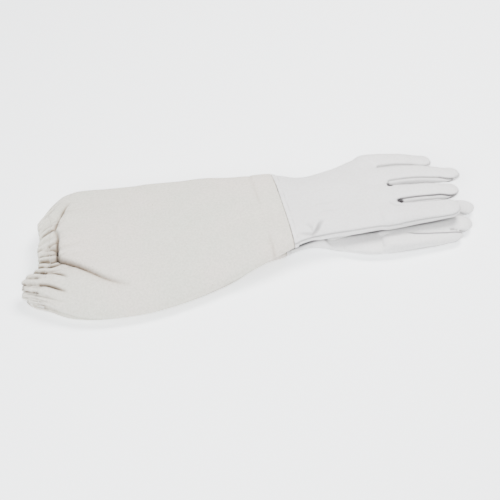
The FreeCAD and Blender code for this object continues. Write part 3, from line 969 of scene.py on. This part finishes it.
# Outline points of the palm's edges, crotches between fingers as x and y, pits at crotches as
# x, y, length and width, the thumb's root x, y and lean in degrees, the edges' drop at the
# wrist and the fingertips' middle height
HANDS = {
    "left": {
        "near": [(20, -48), (39, -44), (66, -38.5), (110, -39.5), (160, -40.5), (190, -41)],
        "far": [(20, 71.5), (39, 69.5), (69, 57.5), (106, 61), (143, 71.5), (160, 74), (190, 72)],
        "fingers": LEFT_FINGERS,
        "crotches": [(159, 46), (163.5, 15.9), (168, -10.2)],
        "pits": [(163.5, 15.9, 4.4, 4.0), (168, -10.2, 4.8, 3.4)],
        "thumb": (92, -20, 14),
        "drop": 1.5,
        "tip_height": 8.0,
    },
    "right": {
        "near": [(20, -38), (32, -37.5), (66, -33), (92, -43), (122, -56), (160, -59), (190, -58)],
        "far": [(20, 54), (32, 54), (66, 52), (112, 50), (160, 42), (190, 40)],
        "fingers": RIGHT_FINGERS,
        "crotches": [(160, 17), (168, -9), (167.5, -39.5)],
        "pits": [(168, -9, 2.0, 1.5), (167.5, -39.5, 2.0, 1.5)],
        "thumb": (88, -22, 6),
        "drop": 0.0,
        "tip_height": 11.2,
    },
}
# Where fingers start, the hand's middle height, the thumb's length, its half width at its root
# and tip, the ring of stitches around its hole, its middle height and the palm's hollow for it
ROOT_X = 148.0
MIDDLE = HAND / 2
THUMB_REACH = 47.0
THUMB_ROOT, THUMB_TIP = 12.8, 10.2
THUMB_RING = 14.2
PAD_MIDDLE = 1.95
RECESS = 4.4


def meet(a, b, blend):
    """The union of two fields, rounded over a blend width."""
    near = np.maximum(blend - np.abs(a - b), 0) / blend
    return np.minimum(a, b) - near * near * blend / 4


def radial(x, y, h, d):
    """Distance to a shape whose scale at a point is 1 / d."""
    return np.sqrt(x * x + y * y + h * h) * (1 - 1 / np.maximum(d, 1e-3))


def finger(hand, number, p):
    """One finger: its field, height share, side share and distance before its tip."""
    root_y, half, tip_x, tip_y, radius, end, bow, sunk = hand["fingers"][number]
    x, y = p[:, 0] - ROOT_X, p[:, 1] - root_y
    ax, ay = tip_x - ROOT_X, tip_y - root_y
    reach = math.hypot(ax, ay)
    t = (x * ax + y * ay) / reach
    u = (y * ax - x * ay) / reach
    share = np.clip(t / reach, 0, 1)
    u = u - 4 * bow * share * (1 - share)
    wide = half + (radius - half) * share**1.7 + 0.35 * np.sin(share * 2 * math.pi * 1.4)
    tall = 9.0 - 3.3 * share**1.4 - 0.4 * sunk
    middle = MIDDLE + (hand["tip_height"] - MIDDLE) * share**1.6 - 0.6 * sunk
    beyond = np.maximum(t - reach, 0)
    behind = np.maximum(-t, 0)
    v = (p[:, 2] - middle) / tall
    square = 2.7 - 0.6 * step_up(0.72, 1.0, share)
    flat = step_up(0, -0.6, v) * (1 - step_up(0.6, 1.0, share))
    d = np.abs(u / wide) ** (square + flat) + np.abs(v) ** (2.3 + 0.7 * flat)
    d = d + (beyond / end) ** 2.1 + (behind / 10) ** 2.3
    field = radial(u, p[:, 2] - middle, beyond + behind, d ** (1 / 2.4))
    return field, v, u / wide, reach + end - t


def thumb_distance(hand, p, swung=0):
    """Distance in plan from the outline of the folded thumb, or of one swung out by degrees."""
    root_x, root_y, lean = hand["thumb"]
    cos, sin = math.cos(math.radians(lean - swung)), math.sin(math.radians(lean - swung))
    x, y = p[:, 0] - root_x, p[:, 1] - root_y
    t, u = x * cos + y * sin, y * cos - x * sin
    wide = THUMB_ROOT + (THUMB_TIP - THUMB_ROOT) * np.clip(t / THUMB_REACH, 0, 1)
    over = t - np.clip(t, 0, THUMB_REACH)
    return np.hypot(over, u) - wide, t, u, over, wide


def palm(hand, p):
    """The palm as far as the crotches: its field and height share."""
    x, y = p[:, 0], p[:, 1]
    near, far = smooth_line(hand["near"], x), smooth_line(hand["far"], x)
    s_mm = y - (near + far) / 2
    s = s_mm / ((far - near) / 2)
    around = thumb_distance(hand, p)[0]
    slot = bump(x, 141, 13)
    if hand is HANDS["right"]:
        # The thumb swings out along the palm and over this part of its edge
        for swung in (10, 20, 30, 40, 50, 60):
            around = np.minimum(around, thumb_distance(hand, p, swung)[0] + 1)
        slot = np.maximum(slot, step_up(74, 84, x) * (1 - step_up(142, 156, x)))
    hollow = RECESS * (1 - step_up(0, 9, around))
    hollow = hollow * step_up(4 - 8 * slot, 12 - 9 * slot, y - near)
    if hand is HANDS["left"]:
        wrist = step_up(40, 48, x) * (1 - step_up(58, 72, x))
        hollow = np.maximum(hollow, 3.6 * wrist * (1 - step_up(8, 26, y - near)))
    drop = hand["drop"] * np.abs(s) ** 2.2 * (1 - step_up(45, 130, x))
    middle = (HAND + hollow) / 2 - drop
    tall = (HAND - hollow) / 2 - 0.8 * step_up(105, 165, x)
    crotches = sorted((y, x) for x, y in hand["crotches"])
    crotches = [(-70, crotches[0][1] - 2)] + crotches + [(80, crotches[-1][1] - 3)]
    beyond = np.maximum(x - (smooth_line(crotches, y) - 9), 0)
    v = (p[:, 2] - middle) / tall
    flat = step_up(0, -0.6, v) * step_up(42, 76, x)
    d = np.abs(s) ** (2.6 + 1.2 * flat) + np.abs(v) ** (2.2 + 1.0 * flat) + (beyond / 11) ** 2.2
    return radial(s_mm, p[:, 2] - middle, beyond, d ** (1 / 2.35)), v


def hand_field(hand, p):
    """The outside of a hand, 0 on its surface."""
    field = finger(hand, 0, p)[0]
    for number in (1, 2, 3):
        field = meet(field, finger(hand, number, p)[0], 1.6)
    field = meet(field, palm(hand, p)[0], 5)
    for x, y, length, width in hand["pits"]:
        d = ((p[:, 0] - x - 1) / length) ** 2 + ((p[:, 1] - y) / width) ** 2
        d = np.sqrt(d + ((p[:, 2] - HAND) / 5) ** 2)
        field = -meet(-field, (d - 1) * width, 1.0)
    return field


def hand_shares(hand, p):
    """Height share over the whole hand, and for each gap how far inside its fourchette."""
    parts = [finger(hand, number, p) for number in range(4)] + [palm(hand, p)]
    fields, heights = (np.stack([part[k] for part in parts]) for k in (0, 1))
    weight = np.exp(-(fields - fields.min(axis=0)) / 1.2)
    v = (weight * heights).sum(axis=0) / weight.sum(axis=0)
    nearest = fields[:4].argmin(axis=0)
    gaps = []
    for number in range(3):
        inside = np.full(len(p), -1.0)
        for who, side in ((number, -1), (number + 1, 1)):
            _, own_v, u, before = parts[who]
            open_up = step_up(4, 26, before)
            high = SEAM_SHARE + 0.46 * open_up
            low = SEAM_SHARE - 0.96 * open_up
            value = np.minimum(high - own_v, own_v - low)
            value = np.minimum(value, (p[:, 0] - hand["crotches"][number][0] - 1.5) / 9)
            facing = (nearest == who) & (u * side > 0)
            inside = np.where(facing, value, inside)
        gaps.append(inside)
    return v, gaps


def to_frame(side, points):
    """Points from a hand's own heights to the frame: the right hand lies palm up."""
    placed = points.copy()
    placed[:, 2] = HAND + GAP + points[:, 2] if side == "left" else HAND - points[:, 2]
    return placed


def grid_surface(field_at, low, high, step, rounds):
    """The zero surface of a field inside a box, evened out, as points and quads."""
    low = np.array(low, float)
    counts = ((np.array(high) - low) / step).astype(int) + 1
    axes = [low[k] + step * np.arange(counts[k]) for k in range(3)]
    grid = np.stack(np.meshgrid(*axes, indexing="ij"), axis=-1).reshape(-1, 3)
    field = np.concatenate([field_at(part) for part in np.array_split(grid, 12)])
    points, quads = surface_of(field.reshape(counts), low, step)
    points = relax(points, quads, 2, 0.5)
    for _ in range(rounds):
        points = relax(settle(points, field_at), quads, 1, 0.35)
    return settle(points, field_at), quads


def creased_back(points, normal, lines):
    """How far the back of the left hand moves at its fold lines, and their shade."""
    move, shade = np.zeros(len(points)), np.zeros(len(points))
    for line, depth, width in lines:
        distance, _, share = along_line(points[:, 0], points[:, 1], line)
        deep = depth * np.sin(math.pi * np.clip(share, 0.02, 0.98)) ** 0.6
        shade += deep * bump(distance, 0, width)
        move += 0.45 * deep * bump(distance, 2.2 * width, 1.6 * width) - deep * bump(distance, 0, width)
    up = step_up(0.2, 0.6, normal[:, 2])
    return move * up, shade * up


# Seams of the left hand's fingers that lie in a deep slot, each (line, darkness of the shade painted
# there, half width)
SLOTS = [
    ([(169, -9), (186, -8.6), (216, -9), (238, -10)], 1.9, 3.4),
    ([(170, 19.5), (200, 18.5), (228, 18)], 0.35, 3.4),
    ([(225, 17), (234, 15.5), (241, 13.5)], 1.4, 3.0),
    ([(162, 46), (190, 46), (205, 44)], 0.25, 3.4),
]


def slots(points):
    """Extra shade for the seams in the slots between fingers."""
    shade = np.zeros(len(points))
    for line, dark, width in SLOTS:
        distance, _, share = along_line(points[:, 0], points[:, 1], line)
        shade += dark * ((share > 0) & (share < 1)) * bump(distance, 0, width)
    return shade


# Folds on the back of the left hand where the wrist narrows, each (line, depth, width)
BACK_FOLDS = [
    ([(46, -32), (55, -34.5), (64, -36.5)], 1.3, 1.6),
    ([(57, -20), (61, -26), (62, -33)], 1.0, 1.5),
    ([(76, -20), (71, -25.5), (67, -31), (60, -37)], 2.4, 1.7),
    ([(70, 2), (82, 4), (96, 3)], 0.35, 1.2),
    ([(74, -9), (86, -8), (98, -9)], 0.35, 1.2),
    ([(76, 22), (90, 25), (104, 24)], 0.3, 1.3),
    ([(171, -18), (164, -17), (158, -13), (157, -7)], 0.8, 1.4),
]


def hand_shade(side, points, normal, v, puckers):
    """The shade painted on one hand's leather in its pits, at its wrist and against the other glove."""
    x, y, z = points.T
    pit = np.zeros(len(points))
    for pit_x, pit_y, length, width in HANDS[side]["pits"]:
        away = np.hypot((x - pit_x - 1.4) / length, (y - pit_y - 1.2) / width)
        pit = np.maximum(pit, 2 * (1 - step_up(0.6, 1.1, away)))
    shade = pit * step_up(-0.6, -0.3, v)
    shade += 0.3 * (0.5 + 0.5 * np.tanh(2 * puckers)) * bump(x, SEAMS[side] + 5.2, 0.8)
    if side == "left":
        return shade + shadowed(points, normal)
    distance, _, share = along_line(x, y, LOWER_SLOT)
    inside = step_up(0, 0.12, share) * (share < 1) * (normal[:, 2] < -0.2)
    return shade + gap_shadow(points, HAND - z) + 1.5 * inside * bump(distance, 0, 1.0)


def hand_panels(side):
    """The panels of one hand as (points, faces, table), by CAD node.

    The table's columns are v, the share in each gap, the normal (3), the move, the painted shade and the
    extra painted shade along seams in slots.
    """
    hand, seam = HANDS[side], SEAMS[side]
    low = (seam - 3, min(y for _, y in hand["near"]) - 7, -3.5)
    high = (263, max(y for _, y in hand["far"]) + 7, 23.5)
    points, quads = grid_surface(lambda p: hand_field(hand, p), low, high, GRID_STEP, 3)
    x = points[:, 0]
    normal = normals_of(points, quads)
    v, gaps = hand_shares(hand, points)
    back = step_up(0.1, 0.6, v)
    puckers = waves(points, 9, 23, 12)
    move = waves(points, 42, 21) * (0.12 + 0.4 * back)
    move += waves(points, 11, 22, 14) * (0.03 + 0.1 * back)
    move += (0.85 + 0.12 * puckers) * (1 - step_up(seam + 4.2, seam + 5.4, x))
    move -= 0.3 * bump(x, seam + 5.6, 0.8)
    shade = hand_shade(side, points, normal, v, puckers)
    slot_shade = np.zeros(len(points))
    if side == "left":
        slot_shade = slots(points)
        pushed, creased = creased_back(points, normal, BACK_FOLDS)
        move += pushed
        shade += 0.35 * creased
    table = np.stack([v, *gaps, *normal.T, move, shade, slot_shade], axis=1)
    points, faces, table = cut(points, triangles_of(quads), x - seam - 0.3, table)
    panels = {}
    for number, name in enumerate(FOURCHETTES):
        panels[name] = cut(points, faces, table[:, 1 + number], table)
    rest = cut(points, faces, -table[:, 1:4].max(axis=1), table)
    panels["leather_back"] = cut(*rest[:2], rest[2][:, 0] - SEAM_SHARE, rest[2])
    panels["leather_palm"] = cut(*rest[:2], SEAM_SHARE - rest[2][:, 0], rest[2])
    return panels


def seam_lines(panel, own_only, seam):
    """Lines with normals along a panel's sewn edges; own_only leaves out what it shares."""
    spots, sides, extra = panel
    wanted = (spots[:, 0] > seam + 1.0) & ((extra[:, 0] < SEAM_SHARE - 0.03) | (not own_only))
    edges = [pair for pair in open_edges(sides) if wanted[pair].all()]
    found = [chain for chain in chains(edges) if len(chain) > SHORTEST]
    return [even_line(spots[chain], extra[chain][:, 4:7]) for chain in found]


def make_hand(side):
    """Back, palm, fourchettes and threads of one hand."""
    body = WRIST if side == "left" else "right_glove"
    panels = hand_panels(side)
    back_lines = seam_lines(panels["leather_back"], False, SEAMS[side])
    palm_lines = seam_lines(panels["leather_palm"], True, SEAMS[side])
    sewn = np.concatenate([line for line, _ in back_lines + palm_lines])
    tree = KDTree(len(sewn))
    for number, spot in enumerate(sewn):
        tree.insert(spot, number)
    tree.balance()
    for node, (spots, faces, extra) in panels.items():
        reach = np.array([tree.find(spot)[2] for spot in spots])
        move = extra[:, 7] - GROOVE_DEPTH * bump(reach, 0, GROOVE_WIDTH) + 0.22 * bump(reach, 2.6, 1.3)
        bent = spots + extra[:, 4:7] * move[:, None]
        # Painted shade: darker along the seam grooves, more along the seams in slots, plus the hand's own
        # painted shade
        painted_shade = np.clip((0.75 + extra[:, 9]) * bump(reach, 0, 0.95) + extra[:, 8], 0, 2)
        solid, faces = shell(bent, faces, LEATHER, extra[:, 4:7])
        solid, faces = to_frame(side, solid), turned_over(side, faces)
        if side == "right":
            solid[:, 2] = np.maximum(solid[:, 2], 0.08)
        skin = suede if node in FOURCHETTES else leather
        painted_shade = np.concatenate([painted_shade, painted_shade])
        build(side, PANEL_NAMES[node], node, "leather", skin, body, solid, faces, painted_shade=painted_shade)

    ring = np.linspace(0, 2 * math.pi, 90)
    x, y, _ = HANDS[side]["thumb"]
    root = [x + THUMB_RING * np.cos(ring), y + THUMB_RING * np.sin(ring), 0 * ring + RECESS]
    palm_lines.append((np.stack(root, axis=1), np.tile([0.0, 0.0, -1.0], (90, 1))))
    for label, lines in (("back_seam", back_lines), ("palm_seam", palm_lines)):
        lines = [(line - normal * (GROOVE_DEPTH * 0.95), normal) for line, normal in lines]
        sew(side, label + "_stitches", label + "_thread", lines, HAND_STITCH, body, True)


def thumb_field(hand, p):
    """The folded thumb: a flat tapered pad that rises to a round root."""
    _, t, u, over, wide = thumb_distance(hand, p)
    wide, height = wide - 0.3, p[:, 2] - PAD_MIDDLE
    thick = 1.75 + 0.1 * np.cos(t / 9)
    d = np.abs(u / wide) ** 2.2 + np.abs(height / thick) ** 2.0 + np.abs(over / wide) ** 2.2
    pad = radial(np.hypot(u, over), height, 0, d**0.476)
    away = np.hypot(p[:, 0] - hand["thumb"][0], p[:, 1] - hand["thumb"][1])
    height = p[:, 2] - 3.2
    d = (away / 11.5) ** 2.2 + np.abs(height / 2.2) ** 2.2
    return meet(pad, radial(away, height, 0, d**0.4545), 2.2)


def make_thumb(side):
    """Both halves of a folded thumb and the stitches between them."""
    hand, body = HANDS[side], side + "_thumb"
    x, y, _ = hand["thumb"]
    low, high = (x - 18, y - 18, -1.6), (x + 62, y + 28, 6.6)
    points, quads = grid_surface(lambda p: thumb_field(hand, p), low, high, 0.8, 2)
    value = points[:, 2] - PAD_MIDDLE
    table = np.stack([value, *normals_of(points, quads).T, waves(points, 16, 31) * 0.12], axis=1)
    halves = {
        "thumb_inner": cut(points, triangles_of(quads), value, table),
        "thumb_outer": cut(points, triangles_of(quads), -value, table),
    }
    for node, (spots, faces, extra) in halves.items():
        move = extra[:, 4] - 0.45 * bump(extra[:, 0], 0, 0.5)
        solid, faces = shell(spots + extra[:, 1:4] * move[:, None], faces, 0.8, extra[:, 1:4])
        solid, faces = to_frame(side, solid), turned_over(side, faces)
        build(side, node + "_leather", node, "leather", leather, body, solid, faces)
    spots, faces, extra = halves["thumb_inner"]
    found = [chain for chain in chains(open_edges(faces)) if len(chain) > SHORTEST]
    lines = [even_line(spots[chain], extra[chain][:, 1:4]) for chain in found]
    lines = [(line - normal * 0.35, normal) for line, normal in lines]
    sew(side, "thumb_stitches", "thumb_seam_thread", lines, THUMB_STITCH, body, True)


for side in ("right", "left"):
    cloth, cuff = make_sleeve(side)
    make_hand(side)
    make_thumb(side)


# ---------------------------------------------------------------- floor, light and camera
def floor_material():
    """A plain pale floor."""
    made, tree, shader, place = material("pale_floor", (0.86, 0.88, 0.9), 0.7, 0.0)
    cloudy = noise(tree, place["Object"], 2.0, 2)
    tone = ramp(tree, cloudy, 0.2, 0.8, ((0.93, 0.945, 0.955), (0.95, 0.965, 0.975)))
    tree.links.new(tone, shader.inputs["Base Color"])
    shader.inputs["Emission Color"].default_value = (0.96, 0.985, 1.0, 1.0)
    shader.inputs["Emission Strength"].default_value = 1.1
    return made


def area_light(name, place, aim, size, power, colour):
    """A soft square light that faces a point."""
    data = bpy.data.lights.new(name, "AREA")
    data.shape = "SQUARE"
    data.size = size
    data.energy = power
    data.color = colour
    light = bpy.data.objects.new(name, data)
    light.location = place
    light.rotation_euler = (Vector(place) - Vector(aim)).to_track_quat("Z", "Y").to_euler()
    bpy.context.scene.collection.objects.link(light)


bpy.ops.mesh.primitive_plane_add(size=8, location=(0, 0, -0.0002))
floor = bpy.context.object
floor.name = "floor"
floor.data.materials.append(floor_material())

world = bpy.data.worlds.new("studio")
world.use_nodes = True
world.node_tree.nodes["Background"].inputs["Color"].default_value = (0.93, 0.96, 1.0, 1)
world.node_tree.nodes["Background"].inputs["Strength"].default_value = 0.42
bpy.context.scene.world = world
area_light("key", (0.5, 0.3, 1.3), (0, 0, 0), 0.7, 46, (1.0, 0.985, 0.97))
area_light("fill", (-0.7, -0.9, 1.1), (0, 0, 0), 1.0, 42, (0.97, 0.985, 1.0))

AIM = Vector((-0.008, -0.0305, 0.020))
DISTANCE = 1.29
azimuth, elevation = math.radians(-13), math.radians(48)
flat = math.cos(elevation)
back = Vector((math.sin(azimuth) * flat, -math.cos(azimuth) * flat, math.sin(elevation)))
camera_data = bpy.data.cameras.new("camera")
camera_data.lens = 85
camera_data.sensor_width = 36
camera = bpy.data.objects.new("camera", camera_data)
camera.location = AIM + back * DISTANCE
camera.rotation_euler = back.to_track_quat("Z", "Y").to_euler()
bpy.context.scene.collection.objects.link(camera)
bpy.context.scene.camera = camera
